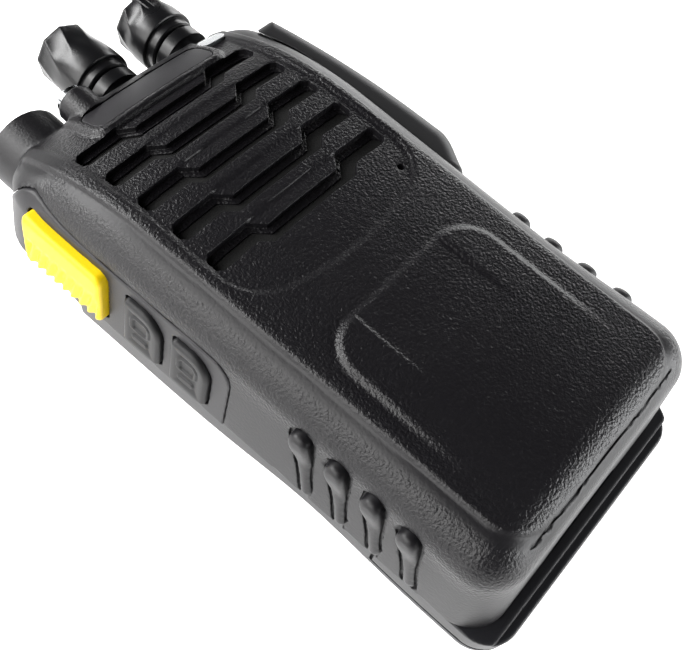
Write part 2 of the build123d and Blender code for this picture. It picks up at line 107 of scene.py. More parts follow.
# a bright band round the horizon and a dark ceiling, so flat faces stay deep and rounded edges glow
skyBand = {"From Min": 0.35, "From Max": 0.62, "To Min": 0.3, "To Max": 0.015}
world = bpy.data.worlds.new("studio")
world.use_nodes = True
sky = world.node_tree
toward = addNode(sky, "ShaderNodeTexCoord")
height = addNode(sky, "ShaderNodeSeparateXYZ", links={0: toward.outputs["Generated"]})
band = addNode(sky, "ShaderNodeMapRange", skyBand, {"Value": height.outputs["Z"]})
sky.links.new(band.outputs[0], sky.nodes["Background"].inputs["Strength"])
bpy.context.scene.world = world
print("camera and lights set")


# ---------- materials ----------
def srgb(code):
    values = [int(code[i:i + 2], 16) / 255 for i in (1, 3, 5)]
    linear = [v / 12.92 if v <= 0.04045 else ((v + 0.055) / 1.055) ** 2.4 for v in values]
    return (*linear, 1.0)


def startMaterial(name):
    material = bpy.data.materials.new(name)
    material.use_nodes = True
    tree = material.node_tree
    tree.nodes.clear()
    output = addNode(tree, "ShaderNodeOutputMaterial")
    shader = addNode(tree, "ShaderNodeBsdfPrincipled")
    tree.links.new(shader.outputs[0], output.inputs[0])
    where = addNode(tree, "ShaderNodeTexCoord").outputs["Object"]
    return material, tree, shader, where


def noise(tree, where, sizeMm, settings):
    return addNode(tree, "ShaderNodeTexNoise", {"Scale": 1 / (sizeMm * mm), **settings}, {"Vector": where})


def spreadNode(tree, low, high, source):
    return addNode(tree, "ShaderNodeMapRange", {"To Min": low, "To Max": high}, {"Value": source})


def mixNode(tree, first, second, source):
    return addNode(tree, "ShaderNodeMix", {"data_type": "RGBA", 6: srgb(first), 7: srgb(second)}, {0: source})


plastic = {"ior": 1.54, "specular": 0.28, "broadMm": 14}


def mouldedPlastic(name, look):
    # grain: small rounded pits that break the light into sparkle; "polish" on the mesh fades it out
    material, tree, shader, where = startMaterial(name)
    grain = noise(tree, where, look["grainMm"], {"Detail": 2.0, "Roughness": 0.55})
    polish = addNode(tree, "ShaderNodeAttribute", {"attribute_name": "polish"}).outputs["Fac"]
    depth = spreadNode(tree, look["bump"], look["bump"] * look.get("polishBump", 1.0), polish)
    edge = addNode(tree, "ShaderNodeBevel", {"Radius": look["edgeMm"] * mm, "samples": 4})
    bump = addNode(tree, "ShaderNodeBump", {"Distance": look["depthMm"] * mm},
                   {"Height": grain.outputs[0], "Strength": depth.outputs[0], "Normal": edge.outputs[0]})
    broad = noise(tree, where, plastic["broadMm"], {"Detail": 3.0})
    spread = spreadNode(tree, *look["rough"], broad.outputs[0])
    softer = addNode(tree, "ShaderNodeMath", {"operation": "MULTIPLY_ADD", 1: look.get("polishRough", 0.0)},
                     {0: polish, 2: spread.outputs[0]})
    tone = mixNode(tree, look["dark"], look["light"], grain.outputs[0])
    tree.links.new(tone.outputs[2], shader.inputs["Base Color"])
    tree.links.new(softer.outputs[0], shader.inputs["Roughness"])
    tree.links.new(bump.outputs[0], shader.inputs["Normal"])
    shader.inputs["IOR"].default_value = plastic["ior"]
    shader.inputs["Specular IOR Level"].default_value = plastic["specular"]
    return material


# PC/ABS, spark-eroded tool: near black, a glint on every grain
sparkErodedBlack = mouldedPlastic("PC-ABS spark-eroded black", {
    "dark": "#0b0a0c", "light": "#151417", "rough": (0.3, 0.38), "grainMm": 0.46, "bump": 0.9,
    "depthMm": 0.2, "polishBump": 0.12, "polishRough": 0.1, "edgeMm": 0.2})
# PC/ABS, fine-blasted tool: satin, greyer where it faces the light
satinBlack = mouldedPlastic("PC-ABS fine-blasted black", {
    "dark": "#161518", "light": "#1e1d20", "rough": (0.4, 0.48), "grainMm": 0.16, "bump": 0.3,
    "depthMm": 0.04, "edgeMm": 0.25})
# ABS pigmented yellow, semi-gloss tool: wide soft highlights along the ribs
yellowAbs = mouldedPlastic("ABS moulded yellow", {
    "dark": "#d8b400", "light": "#e6c806", "rough": (0.36, 0.46), "grainMm": 0.3, "bump": 0.15,
    "depthMm": 0.04, "edgeMm": 0.25})
# thermoplastic rubber, matt tool: deep black with a dull sheen
mattRubber = mouldedPlastic("TPR moulded black", {
    "dark": "#111112", "light": "#19191b", "rough": (0.44, 0.54), "grainMm": 0.2, "bump": 0.3,
    "depthMm": 0.04, "edgeMm": 0.3})
# ABS, near-polished tool: dark with long soft reflections
knobAbs = mouldedPlastic("ABS semi-polished black", {
    "dark": "#0c0c0d", "light": "#121214", "rough": (0.24, 0.32), "grainMm": 0.3, "bump": 0.12,
    "depthMm": 0.03, "edgeMm": 0.2})
# PC/ABS, etched tool: the battery case and the cover above it, a little greyer and duller
batteryAbs = mouldedPlastic("PC-ABS etched black", {
    "dark": "#121215", "light": "#1b1b1e", "rough": (0.36, 0.46), "grainMm": 0.24, "bump": 0.35,
    "depthMm": 0.06, "edgeMm": 0.3})
# woven dust cloth, threads drawn a little coarse: no shine, fine relief
dustCloth = mouldedPlastic("Polyester woven black", {
    "dark": "#050505", "light": "#0e0e0e", "rough": (0.8, 0.9), "grainMm": 0.3, "bump": 0.6,
    "depthMm": 0.08, "edgeMm": 0.05})
# white acetal, moulded: insulator and lamp body, milky with a soft shine
whiteAcetal = mouldedPlastic("Acetal moulded white", {
    "dark": "#dcdad4", "light": "#ebe9e4", "rough": (0.35, 0.45), "grainMm": 0.5, "bump": 0.1,
    "depthMm": 0.02, "edgeMm": 0.1})
# FR4 board with green solder mask: smooth, slightly mottled
solderMask = mouldedPlastic("FR4 solder-masked green", {
    "dark": "#0f3a22", "light": "#175232", "rough": (0.3, 0.4), "grainMm": 1.2, "bump": 0.1,
    "depthMm": 0.02, "edgeMm": 0.05})


metal = {"smoother": 0.75, "rougher": 1.3, "edgeMm": 0.1, "depthMm": 0.01, "relief": 0.2}


def plainMetal(name, code, roughness, streakMm):
    # fine streaks in the roughness from turning or drawing
    material, tree, shader, where = startMaterial(name)
    streak = noise(tree, where, streakMm, {"Detail": 4.0})
    low, high = roughness * metal["smoother"], roughness * metal["rougher"]
    spread = spreadNode(tree, low, high, streak.outputs[0])
    edge = addNode(tree, "ShaderNodeBevel", {"Radius": metal["edgeMm"] * mm, "samples": 4})
    bump = addNode(tree, "ShaderNodeBump", {"Distance": metal["depthMm"] * mm, "Strength": metal["relief"]},
                   {"Height": streak.outputs[0], "Normal": edge.outputs[0]})
    tree.links.new(spread.outputs[0], shader.inputs["Roughness"])
    tree.links.new(bump.outputs[0], shader.inputs["Normal"])
    shader.inputs["Base Color"].default_value = srgb(code)
    shader.inputs["Metallic"].default_value = 1.0
    return material


# die-cast aluminium, dull and grey
castAlloy = plainMetal("Aluminium die-cast", "#a9abae", 0.45, 0.8)
# zinc plate on pressed or drawn steel, brighter and bluer
zincSteel = plainMetal("Steel zinc plated", "#b4b6b8", 0.35, 0.6)
# turned brass under gold plate, warm and fairly bright
goldBrass = plainMetal("Brass gold plated", "#e0b862", 0.24, 0.5)
# chrome on moulded ABS, nearly a mirror
chromedAbs = plainMetal("Chrome on ABS", "#a4a6a8", 0.16, 1.0)


clear = {"rippleMm": 1.5, "depthMm": 0.02, "relief": 0.2, "rough": 0.06, "ior": 1.58, "through": 0.5}


def clearPlastic(name, code):
    material, tree, shader, where = startMaterial(name)
    ripple = noise(tree, where, clear["rippleMm"], {"Detail": 2.0})
    bump = addNode(tree, "ShaderNodeBump", {"Distance": clear["depthMm"] * mm, "Strength": clear["relief"]},
                   {"Height": ripple.outputs[0]})
    tree.links.new(bump.outputs[0], shader.inputs["Normal"])
    shader.inputs["Base Color"].default_value = srgb(code)
    shader.inputs["Roughness"].default_value = clear["rough"]
    shader.inputs["IOR"].default_value = clear["ior"]
    shader.inputs["Transmission Weight"].default_value = clear["through"]
    return material


# clear polycarbonate: sharp reflections, faint moulding ripple
clearLens = clearPlastic("Polycarbonate polished clear", "#a4a8aa")
print("materials made")


# ---------- meshes from distance fields ----------
def roundMax(a, b, radius):
    corner = np.hypot(np.maximum(a + radius, 0), np.maximum(b + radius, 0))
    return np.minimum(-radius, np.maximum(a, b)) + corner


def roundMin(a, b, radius):
    return -roundMax(-a, -b, radius)


def cutAway(solid, hole):
    return np.maximum(solid, -hole)


def ramp(low, high, value):
    return np.clip((value - low) / (high - low), 0.0, 1.0)


def smooth(low, high, value):
    share = ramp(low, high, value)
    return share * share * (3 - 2 * share)


def roundedBox(x, y, spanX, spanY, corner):
    return roundMax(np.abs(x - sum(spanX) / 2) - (spanX[1] - spanX[0]) / 2,
                    np.abs(y - sum(spanY) / 2) - (spanY[1] - spanY[0]) / 2, corner)


def polygonDistance(x, y, points):
    # signed distance to a closed outline, negative inside
    best = np.full(np.broadcast(x, y).shape, 1e9)
    sign = np.ones(best.shape)
    for (x0, y0), (x1, y1) in zip(points, points[1:] + points[:1]):
        ex, ey = x1 - x0, y1 - y0
        share = np.clip(((x - x0) * ex + (y - y0) * ey) / (ex * ex + ey * ey), 0.0, 1.0)
        best = np.minimum(best, (x - x0 - share * ex) ** 2 + (y - y0 - share * ey) ** 2)
        above = y >= y0
        under = y < y1
        left = ex * (y - y0) > ey * (x - x0)
        flip = (above & under & left) | (~above & ~under & ~left)
        sign = np.where(flip, -sign, sign)
    return sign * np.sqrt(best)


slopeStep = 0.02          # distance over which a field's slope is taken
cornerPull = 0.06         # how strongly a mesh point keeps to the middle of its crossings
longestMove = 0.7         # share of a cell that a point may leave that middle by


def gradient(field, points):
    # four-point slope of the field, as unit normals
    corners = np.array(((1, 1, 1), (1, -1, -1), (-1, 1, -1), (-1, -1, 1)), float)
    total = np.zeros_like(points)
    for corner in corners:
        spot = points + slopeStep * corner
        total += field(spot[:, 0], spot[:, 1], spot[:, 2])[:, None] * corner
    return total / np.maximum(np.linalg.norm(total, axis=1, keepdims=True), 1e-12)


def crossings(values, low, step):
    # where the cells' edges cross the surface, and the four cells round each crossing
    shape = values.shape
    strides = np.array((shape[1] * shape[2], shape[2], 1))
    places, quads = [], []
    for axis in range(3):
        near = tuple(slice(None, -1) if k == axis else slice(1, -1) for k in range(3))
        far = tuple(slice(1, None) if k == axis else slice(1, -1) for k in range(3))
        first, second = values[near], values[far]
        spot = np.argwhere((first < 0) != (second < 0))
        a, b = first[tuple(spot.T)], second[tuple(spot.T)]
        spot = spot + np.array([0 if k == axis else 1 for k in range(3)])
        point = low + spot * step
        point[:, axis] += a / (a - b) * step
        one, two = (strides[k] for k in range(3) if k != axis)
        base = spot @ strides
        quad = np.stack((base, base - one, base - one - two, base - two), 1)
        backwards = (a > 0) != (axis == 1)
        quad[backwards] = quad[backwards][:, ::-1]
        places.append(point)
        quads.append(quad)
    return np.concatenate(places), np.concatenate(quads)


def fieldMesh(field, low, high, step):
    # dual contouring: one point per cell the surface crosses, set on the planes met by the cell's edges
    low = np.array(low, float)
    axes = [np.arange(a, b + step, step) for a, b in zip(low, high)]
    values = field(axes[0][:, None, None], axes[1][None, :, None], axes[2][None, None, :])
    values = np.where(values == 0, 1e-9, values)
    places, quads = crossings(values, low, step)
    normals = gradient(field, places)
    cells, inverse = np.unique(quads, return_inverse=True)
    faces = inverse.reshape(quads.shape)
    member = np.repeat(np.arange(len(places)), 4)
    flat = faces.ravel()

    def gather(values):
        return np.bincount(flat, weights=values[member], minlength=len(cells))

    count = gather(np.ones(len(places)))
    middle = np.stack([gather(places[:, k]) for k in range(3)], 1) / count[:, None]
    reach = np.einsum("ij,ij->i", normals, places)
    pull = np.stack([gather(normals[:, k] * reach) for k in range(3)], 1)
    grid = np.empty((len(cells), 3, 3))
    for i in range(3):
        for j in range(3):
            grid[:, i, j] = gather(normals[:, i] * normals[:, j])
    pull -= np.einsum("ijk,ik->ij", grid, middle)
    grid += cornerPull * count[:, None, None] * np.eye(3)
    move = np.linalg.solve(grid, pull[:, :, None])[:, :, 0]
    size = np.linalg.norm(move, axis=1, keepdims=True)
    move *= np.minimum(1.0, longestMove * step / np.maximum(size, 1e-9))
    return middle + move, faces


def addMesh(name, points, faces, material, polish=None, sharpAngle=42.0):
    mesh = bpy.data.meshes.new(name)
    mesh.from_pydata(toRow(points).tolist(), [], np.asarray(faces).tolist())
    mesh.validate()
    mesh.shade_smooth()
    mesh.set_sharp_from_angle(angle=math.radians(sharpAngle))
    if polish is not None:
        layer = mesh.attributes.new("polish", "FLOAT", "POINT")
        layer.data.foreach_set("value", np.asarray(polish(points), np.float32))
    mesh.materials.append(material)
    piece = bpy.data.objects.new(name, mesh)
    bpy.context.collection.objects.link(piece)
    return piece


def fieldPiece(name, field, low, high, step, material, polish=None):
    points, faces = fieldMesh(field, low, high, step)
    return addMesh(name, points, faces, material, polish)


# ---------- the case's outer form ----------
form = {
    "foot": 3.2, "top": 107.5,                # front case, along the radio
    "halfFoot": 26.4, "halfTop": 29.4,        # half width at the seam
    "seam": 9.2, "face": 32.0, "middle": 50.0,
    # draft of the walls; the sides' share of it falls towards the foot
    "lean": 8.0, "sideLean": 0.9, "footLeanLess": 0.55, "leanFade": (8.0, 36.0), "topLean": 0.1,
    "corner": 10.0, "footCorner": 6.4, "shoulder": 5.6, "topEdge": 1.6, "shoulderFade": (94.0, 104.0),
    "crown": 1.0, "crownHalf": 20.6, "browStart": 73.0, "browRadius": 60.0,
    # the step between face and shoulders, left out across the middle of the foot
    "creaseFoot": 19.7, "creaseTop": 21.9, "creaseStep": 0.55, "creaseLow": 8.0, "creaseCorner": 6.0,
    "creaseSlope": (-0.1, 0.4), "creaseGapX": (12.5, 17.0), "creaseGapY": (10.0, 14.0),
    "wall": 2.2,
}
panel = {"left": 19.5, "right": 20.1, "arcRadius": 45.4, "arcMiddle": (0.4, 97.6), "arcBelow": 75,
         "corner": 6.0, "depth": 0.45, "border": 1.0}
plinth = {"left": -17.4, "right": 15.6, "top": 45.8, "corner": 6.5, "rise": 0.6, "border": 1.0,
          "fade": (14.0, 36.0), "inner": (-10.6, 8.9), "innerDrop": 0.24, "innerBorder": 0.5,
          "innerFade": (27.0, 40.0)}
slots = {"top": 93.4, "pitch": 7.23, "count": 5, "half": 18.4, "chamfer": 0.9, "middle": 0.3,
         "barLong": 9.7, "barShort": 7.5, "barStep": 2.33, "barDrop": 0.3, "barSlope": (-0.1, 0.1),
         "lowEnd": 1.3, "lowMiddle": 2.9, "kneeOut": 1.0, "kneeIn": 1.5,
         "ledge": 1.25, "ledgeDepth": 1.4, "through": 7.0}
label = {"x": (-11.5, 14.0), "y": (97.2, 103.4), "corner": 2.0, "gap": 0.1, "seat": 0.6,
         "frame": 1.6, "frameTop": 112.0, "frameCorner": 3.0, "frameSlope": (-0.7, 0.3), "rise": 0.45}
lean = math.tan(math.radians(form["lean"]))
leanCos = math.cos(math.radians(form["lean"]))
farInside = -20.0         # stands for "no edge here" in a distance


def along(y):
    return (y - form["foot"]) / (form["top"] - form["foot"])


def halfWidth(y):
    return form["halfFoot"] + (form["halfTop"] - form["halfFoot"]) * along(y)


def plainFace(x, y):
    over = np.clip(y - form["browStart"], 0, 50)
    drop = form["browRadius"] - np.sqrt(form["browRadius"] ** 2 - over ** 2)
    return form["face"] - form["crown"] * (x / form["crownHalf"]) ** 2 - drop


def slotLocal(y):
    number = np.round((slots["top"] - slots["middle"] - y) / slots["pitch"])
    number = np.clip(number, 0, slots["count"] - 1)
    return y - (slots["top"] - number * slots["pitch"])


def slotOutline(lower):
    up = slots["barStep"] - lower
    half, longHalf, shortHalf = slots["half"], slots["barLong"], slots["barShort"]
    cut = slots["chamfer"]
    end, mid = -slots["lowEnd"], -slots["lowMiddle"]
    right = [(shortHalf, -lower), (longHalf, up), (half - cut, up), (half, up - cut), (half, end + cut),
             (half - cut, end), (longHalf + slots["kneeOut"], end), (shortHalf + slots["kneeIn"], mid)]
    return right + [(-px, py) for px, py in reversed(right)]


def creaseDistance(x, y):
    half = form["creaseFoot"] + (form["creaseTop"] - form["creaseFoot"]) * along(y)
    return roundMax(np.abs(x) - half, form["creaseLow"] - y, form["creaseCorner"])


def panelDistance(x, y):
    arc = np.hypot(x - panel["arcMiddle"][0], y - panel["arcMiddle"][1]) - panel["arcRadius"]
    arc = np.where(y < panel["arcBelow"], arc, farInside)
    sides = np.maximum(-panel["left"] - x, x - panel["right"])
    return roundMax(sides, arc, panel["corner"])


def faceHeight(x, y):
    height = plainFace(x, y)
    # the face stands a step above the shoulders, and the step dies out along the foot
    keep = 1 - (1 - smooth(*form["creaseGapX"], np.abs(x))) * (1 - smooth(*form["creaseGapY"], y))
    height = height - form["creaseStep"] * keep * ramp(*form["creaseSlope"], creaseDistance(x, y))
    # sunk grille panel with a sloping border, under the name plate's frame
    sunk = 1 - ramp(-panel["border"], 0.0, panelDistance(x, y))
    nameFrame = roundedBox(x, y, (label["x"][0] - label["frame"], label["x"][1] + label["frame"]),
                           (label["y"][0] - label["frame"], label["frameTop"]), label["frameCorner"])
    framed = 1 - ramp(*label["frameSlope"], nameFrame)
    height = height - panel["depth"] * sunk * (1 - framed) + label["rise"] * framed
    # bars hang a little below the panel
    barPoints = [(-slots["barShort"], 0.0), (slots["barShort"], 0.0), (slots["barLong"], slots["barStep"]),
                 (-slots["barLong"], slots["barStep"])]
    bar = polygonDistance(x, slotLocal(y), barPoints)
    height = height - slots["barDrop"] * (1 - ramp(*slots["barSlope"], bar))
    # low plinth below the panel, fading towards the foot, with a lower middle
    sides = np.maximum(plinth["left"] - x, x - plinth["right"])
    edge = 1 - ramp(-plinth["border"], 0.0, roundMax(sides, y - plinth["top"], plinth["corner"]))
    raised = edge * smooth(*plinth["fade"], y)
    within = np.maximum(plinth["inner"][0] - x, x - plinth["inner"][1])
    lowered = (1 - ramp(-plinth["innerBorder"], 0.0, within)) * smooth(*plinth["innerFade"], y) * edge
    return height + plinth["rise"] * raised - plinth["innerDrop"] * lowered


def wallDistance(x, y, z):
    rise = z - form["seam"]
    upright = form["sideLean"] - form["footLeanLess"] * (1 - smooth(*form["leanFade"], y))
    side = (np.abs(x) - halfWidth(y) + rise * lean * upright) * leanCos
    foot = (form["foot"] + rise * lean - y) * leanCos
    top = y - form["top"] + rise * form["topLean"]
    return np.where(y < form["middle"], roundMax(side, foot, form["footCorner"]),
                    roundMax(side, top, form["corner"]))


def shoulderAt(y):
    return form["shoulder"] - (form["shoulder"] - form["topEdge"]) * smooth(*form["shoulderFade"], y)


def plainForm(x, y, z):
    return roundMax(wallDistance(x, y, z), z - plainFace(x, y) + form["creaseStep"], shoulderAt(y))


def outerForm(x, y, z):
    return roundMax(wallDistance(x, y, z), z - faceHeight(x, y), shoulderAt(y))


# ---------- front case ----------
controls = {"z": 16.6, "channelX": 0.5, "volumeX": 16.0, "hole": 3.1, "holeFrom": 95.0}
bosses = {"from": 100.0, "blend": 0.6}
antenna = {"x": -17.0, "z": 14.0, "seat": 7.2, "end": 112.3, "bore": 5.4, "floor": 105.6}
torch = {"x": -8.0, "z": 21.0, "boss": 3.4, "end": 108.9, "edge": 0.5, "seat": 107.1, "hole": 2.75}
bezel = {"y": (53.0, 100.4), "z": (9.2, 24.0), "endX": -16.0, "proud": 0.2, "skin": 1.2, "corner": 4.0,
         "edge": 0.3, "gap": 0.1, "under": 0.05, "topSlope": (0.8, 0.6), "topDrop": 3.0, "topCorner": 2.0}
buttons = {
    "ptt_button": {"y": (78.3, 95.9), "z": (11.3, 21.9), "corner": 1.6, "proud": 1.9},
    "side_key_upper": {"y": (66.4, 74.0), "z": (11.2, 21.9), "corner": 4.0, "proud": 1.1},
    "side_key_lower": {"y": (56.5, 64.1), "z": (11.2, 21.9), "corner": 4.0, "proud": 1.1},
}
window = {"gap": 0.3, "smallCorner": 0.9, "toX": -15.0, "buttonDepth": 3.2}
grips = {"first": 39.6, "pitch": 6.6, "last": 3, "middle": 1.2,
         "bulbZ": 22.6, "rightZ": 25.2, "tailZ": 10.8, "slant": 3.4,
         "bulb": 1.8, "tail": 1.0, "narrowing": (0.0, 0.75), "fromX": 18.0,
         "grooveMiddle": 0.28, "grooveHalf": 0.3, "grooveDeep": 0.55,
         "high": 1.35, "fall": 1.0, "fallOver": (0.0, 0.45), "rightMore": 0.1, "round": 0.9, "root": 2.0}
jacks = {"y": (69.05, 86.95), "z": (16.2, 21.4), "corner": 0.4, "fromX": 20.0}
microphone = {"x": 15.5, "y": 58.0, "radius": 0.65, "low": 20.0}
lightPipe = {"x": (14.7, 20.5), "y": (101.2, 104.0), "corner": 1.4, "low": 18.0}
latchWindow = {"x": (-9.6, 9.6), "z": (2.0, 14.2), "corner": 4.2, "toY": 7.5}
parting = {"y": 7.6, "half": 0.16, "deep": 0.35, "halfX": 18.0, "low": 24.0}
hollowLow = 8.0           # the case's inside is open from here up
outOfReach = 5.0          # stands for "far outside" where no grip may grow


def buttonOutline(y, z, size, grow):
    # only the corner towards foot and face is large
    y0, y1 = size["y"][0] - grow, size["y"][1] + grow
    z0, z1 = size["z"][0] - grow, size["z"][1] + grow
    bigCorner = roundMax(y0 - y, z - z1, size["corner"] + grow)
    rest = roundMax(np.maximum(y0 - y, y - y1), np.maximum(z0 - z, z - z1), window["smallCorner"])
    return np.maximum(bigCorner, rest)


def buttonWindow(x, y, z, size):
    return np.maximum(buttonOutline(y, z, size, window["gap"]), x - window["toX"])


def bezelRegion(x, y, z, grow):
    edge = roundMax(bezel["y"][0] - grow - y, z - bezel["z"][1] - grow, bezel["corner"])
    # the top end drops away, clear of the antenna's seat
    slopeY, slopeZ = bezel["topSlope"]
    topEnd = (y - bezel["y"][1]) * slopeY + (z - bezel["z"][1] + bezel["topDrop"]) * slopeZ - grow
    edge = roundMax(edge, topEnd, bezel["topCorner"])
    return np.maximum(edge, x - bezel["endX"] - grow)


def gripDistance(x, y, z):
    # nearest of four drops: a round head, and a narrower tail that leans to the foot
    number = np.round((grips["first"] - grips["middle"] - y) / grips["pitch"])
    number = np.clip(number, 0, grips["last"])
    headY = grips["first"] - number * grips["pitch"]
    headZ = np.where(x > 0, grips["rightZ"], grips["bulbZ"])
    ey, ez = -grips["slant"], grips["tailZ"] - headZ
    share = np.clip(((y - headY) * ey + (z - headZ) * ez) / (ey * ey + ez * ez), 0.0, 1.0)
    radius = grips["bulb"] + (grips["tail"] - grips["bulb"]) * smooth(*grips["narrowing"], share)
    return np.hypot(y - headY - share * ey, z - headZ - share * ez) - radius, share


def addBosses(base, x, y, z):
    # antenna seat and torch boss on the top wall
    seat = np.hypot(x - antenna["x"], z - antenna["z"]) - antenna["seat"]
    seat = np.maximum(seat, np.maximum(y - antenna["end"], bosses["from"] - y))
    seat = np.maximum(seat, form["seam"] - z)
    base = roundMin(base, seat, bosses["blend"])
    boss = np.hypot(x - torch["x"], z - torch["z"]) - torch["boss"]
    boss = roundMax(boss, y - torch["end"], torch["edge"])
    boss = np.maximum(boss, bosses["from"] - y)
    return roundMin(base, boss, bosses["blend"])


def addGrips(base, skin, x, y, z):
    # a groove round each drop, the drop standing in it
    drop, share = gripDistance(x, y, z)
    wallOnly = np.where(np.abs(x) > grips["fromX"], skin, outOfReach)
    groove = np.abs(drop - grips["grooveMiddle"]) - grips["grooveHalf"]
    groove = np.maximum(groove, -grips["grooveDeep"] - wallOnly)
    groove = np.maximum(groove, wallOnly - 1.0)
    base = cutAway(base, groove)
    height = grips["high"] - grips["fall"] * smooth(*grips["fallOver"], share) + grips["rightMore"] * (x > 0)
    pip = roundMax(drop, wallOnly - height, grips["round"])
    pip = np.maximum(pip, form["seam"] - z)
    return np.minimum(base, np.maximum(pip, -grips["root"] - wallOnly))


def caseField(x, y, z):
    outer = outerForm(x, y, z)
    skin = plainForm(x, y, z)
    base = np.maximum(outer, form["seam"] - z)
    base = addBosses(base, x, y, z)
    base = addGrips(base, skin, x, y, z)
    # hollow inside
    solid = cutAway(base, np.maximum(skin + form["wall"], hollowLow - z))
    # grille slots with a ledge half way down
    local = slotLocal(y)
    depth = plainFace(x, y) - z
    mouth = polygonDistance(x, local, slotOutline(0.0))
    mouth = np.maximum(mouth, depth - slots["ledgeDepth"] - panel["depth"])
    throat = polygonDistance(x, local, slotOutline(slots["ledge"]))
    throat = np.maximum(throat, depth - slots["through"])
    solid = cutAway(solid, np.minimum(mouth, throat))
    mic = np.hypot(x - microphone["x"], y - microphone["y"]) - microphone["radius"]
    solid = cutAway(solid, np.maximum(mic, microphone["low"] - z))
    # seats of the bezel, its buttons, the name plate and the light pipe
    bezelSeat = np.maximum(bezelRegion(x, y, z, bezel["gap"]), -(bezel["skin"] + bezel["under"]) - skin)
    solid = cutAway(solid, bezelSeat)
    for size in buttons.values():
        solid = cutAway(solid, buttonWindow(x, y, z, size))
    plate = roundedBox(x, y, label["x"], label["y"], label["corner"]) - label["gap"]
    solid = cutAway(solid, np.maximum(plate, faceHeight(x, y) - label["seat"] - z))
    pipe = roundedBox(x, y, lightPipe["x"], lightPipe["y"], lightPipe["corner"])
    solid = cutAway(solid, np.maximum(pipe, lightPipe["low"] - z))
    # holes in the top wall
    for holeX in (controls["channelX"], controls["volumeX"]):
        shaftHole = np.hypot(x - holeX, z - controls["z"]) - controls["hole"]
        solid = cutAway(solid, np.maximum(shaftHole, controls["holeFrom"] - y))
    recess = np.hypot(x - antenna["x"], z - antenna["z"]) - antenna["bore"]
    solid = cutAway(solid, np.maximum(recess, antenna["floor"] - y))
    lampHole = np.hypot(x - torch["x"], z - torch["z"]) - torch["hole"]
    solid = cutAway(solid, np.maximum(lampHole, torch["seat"] - y))
    # jack opening under the cover, latch window in the foot, parting line round the foot
    jackHole = roundedBox(y, z, jacks["y"], jacks["z"], jacks["corner"])
    solid = cutAway(solid, np.maximum(jackHole, jacks["fromX"] - x))
    latchHole = roundedBox(x, z, latchWindow["x"], latchWindow["z"], latchWindow["corner"])
    solid = cutAway(solid, np.maximum(latchHole, y - latchWindow["toY"]))
    ends = np.maximum(np.abs(x) - parting["halfX"], parting["low"] - z)
    line = np.maximum(np.abs(y - parting["y"]) - parting["half"], np.maximum(-parting["deep"] - outer, ends))
    return cutAway(solid, line)


satin = {
    # how much of the grain each place loses, and over which distances it fades in
    "side": 0.9, "sideLow": (19.5, 25.5), "sideDeep": -3.5,
    "channel": 0.9, "channelIn": (-0.2, 0.3), "channelOut": (1.4, 2.4), "channelLow": 27,
    "cornerY": (92.0, 99.0), "cornerX": (17.0, 20.0),
    "drop": (0.1, 0.6),
    "plate": 0.6, "plateY": (102.5, 103.5),
}


def casePolish(points):
    # 0 is full grain, 1 is the satin of the side walls, channels and top corners
    x, y, z = points.T
    below = 1 - smooth(*satin["sideLow"], z)
    side = np.where(wallDistance(x, y, z) > satin["sideDeep"], below, 0.0)
    crease = creaseDistance(x, y)
    channel = smooth(*satin["channelIn"], crease) * (1 - smooth(*satin["channelOut"], crease))
    channel = channel * (z > satin["channelLow"])
    corner = smooth(*satin["cornerY"], y) * smooth(*satin["cornerX"], np.abs(x))
    drop, _ = gripDistance(x, y, z)
    grip = (1 - smooth(*satin["drop"], drop)) * (np.abs(x) > grips["fromX"])
    plateFrame = smooth(*satin["plateY"], y)
    parts = [side * satin["side"], channel * satin["channel"], corner, grip, plateFrame * satin["plate"]]
    return np.clip(np.maximum.reduce(parts), 0, 1)


frontCase = fieldPiece("frontCase", caseField, (-31, 1.5, 7.5), (32, 114, 34.5), 0.4,
                       sparkErodedBlack, casePolish)
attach(frontCase, "radio")
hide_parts("front_case")
print("front case", len(frontCase.data.polygons))


# ---------- name plate, bezel and buttons ----------
plateForm = {"under": 0.15, "edge": 0.25, "thick": 0.55}


def plateField(x, y, z):
    edge = roundedBox(x, y, label["x"], label["y"], label["corner"])
    top = z - faceHeight(x, y) + plateForm["under"]
    return np.maximum(roundMax(edge, top, plateForm["edge"]), faceHeight(x, y) - plateForm["thick"] - z)


namePlate = fieldPiece("namePlate", plateField, (-13, 95.5, 20), (15.5, 105.5, 30), 0.25, satinBlack)
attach(namePlate, "radio")
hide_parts("label_plate")


def bezelField(x, y, z):
    skin = plainForm(x, y, z)
    body = roundMax(bezelRegion(x, y, z, 0.0), skin - bezel["proud"], bezel["edge"])
    body = np.maximum(body, np.maximum(-bezel["skin"] - skin, bezel["z"][0] - z))
    for size in buttons.values():
        body = cutAway(body, buttonWindow(x, y, z, size))
    return body


sideBezel = fieldPiece("sideBezel", bezelField, (-32, 51.5, 8.2), (-12, 106.5, 26), 0.3, satinBlack)
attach(sideBezel, "radio")
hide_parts("side_bezel")

pttForm = {"ribDepth": 0.6, "ribPitch": 1.95, "ribFrom": (11.3, 80.2), "ribLean": 0.3,
           "ribFade": (15.8, 18.2), "lowEnd": (78.3, 80.0), "highEnd": (94.2, 95.9), "edge": 0.8}


